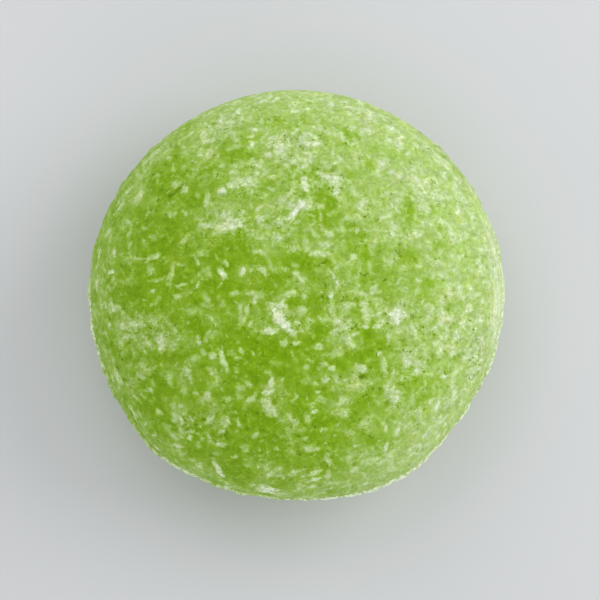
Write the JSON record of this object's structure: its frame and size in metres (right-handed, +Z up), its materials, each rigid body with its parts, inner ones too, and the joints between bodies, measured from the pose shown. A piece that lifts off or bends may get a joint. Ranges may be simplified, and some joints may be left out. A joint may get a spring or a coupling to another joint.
{
  "type": "shaving soap puck",
  "caption": "Round domed soap puck pressed from green soap, with white grains set flush in its skin, a thin seam ring around its rim and a flat face to rest on.",
  "frame": {"origin": "on the surface that the puck rests on, below the middle of its bounding box", "axes": "+Z up through the crown; X and Y lie in the resting face"},
  "size_m": [0.065, 0.0647, 0.0271],
  "materials": {
    "green_soap": "waxy, slightly translucent pressed green soap with a powdery white bloom",
    "white_grain": "matt, slightly translucent white soap grain"
  },
  "bodies": {
    "root": {"soap_body": "green_soap", "crown_grain_01": "white_grain", "crown_grain_02": "white_grain", "crown_grain_03": "white_grain", "crown_grain_04": "white_grain", "crown_grain_05": "white_grain", "crown_grain_06": "white_grain", "crown_grain_07": "white_grain", "crown_grain_08": "white_grain", "crown_grain_09": "white_grain", "crown_grain_10": "white_grain", "crown_grain_11": "white_grain", "crown_grain_12": "white_grain", "crown_grain_13": "white_grain", "crown_grain_14": "white_grain", "crown_grain_15": "white_grain", "crown_grain_16": "white_grain", "crown_grain_17": "white_grain", "crown_grain_18": "white_grain", "crown_grain_19": "white_grain", "crown_grain_20": "white_grain", "crown_grain_21": "white_grain", "crown_grain_22": "white_grain", "crown_grain_23": "white_grain", "crown_grain_24": "white_grain", "crown_grain_25": "white_grain", "crown_grain_26": "white_grain", "crown_grain_27": "white_grain", "crown_grain_28": "white_grain", "crown_grain_29": "white_grain", "crown_grain_30": "white_grain", "crown_grain_31": "white_grain", "crown_grain_32": "white_grain", "crown_grain_33": "white_grain", "crown_grain_34": "white_grain", "crown_grain_35": "white_grain", "crown_grain_36": "white_grain", "crown_grain_37": "white_grain", "crown_grain_38": "white_grain", "crown_grain_39": "white_grain", "crown_grain_40": "white_grain", "crown_grain_41": "white_grain", "crown_grain_42": "white_grain", "crown_grain_43": "white_grain", "crown_grain_44": "white_grain", "crown_grain_45": "white_grain", "crown_grain_46": "white_grain", "crown_grain_47": "white_grain", "crown_grain_48": "white_grain", "crown_grain_49": "white_grain", "crown_grain_50": "white_grain", "crown_grain_51": "white_grain", "under_grain_01": "white_grain", "under_grain_02": "white_grain", "under_grain_03": "white_grain", "under_grain_04": "white_grain", "under_grain_05": "white_grain", "under_grain_06": "white_grain", "under_grain_07": "white_grain", "under_grain_08": "white_grain"}
  },
  "joints": []
}
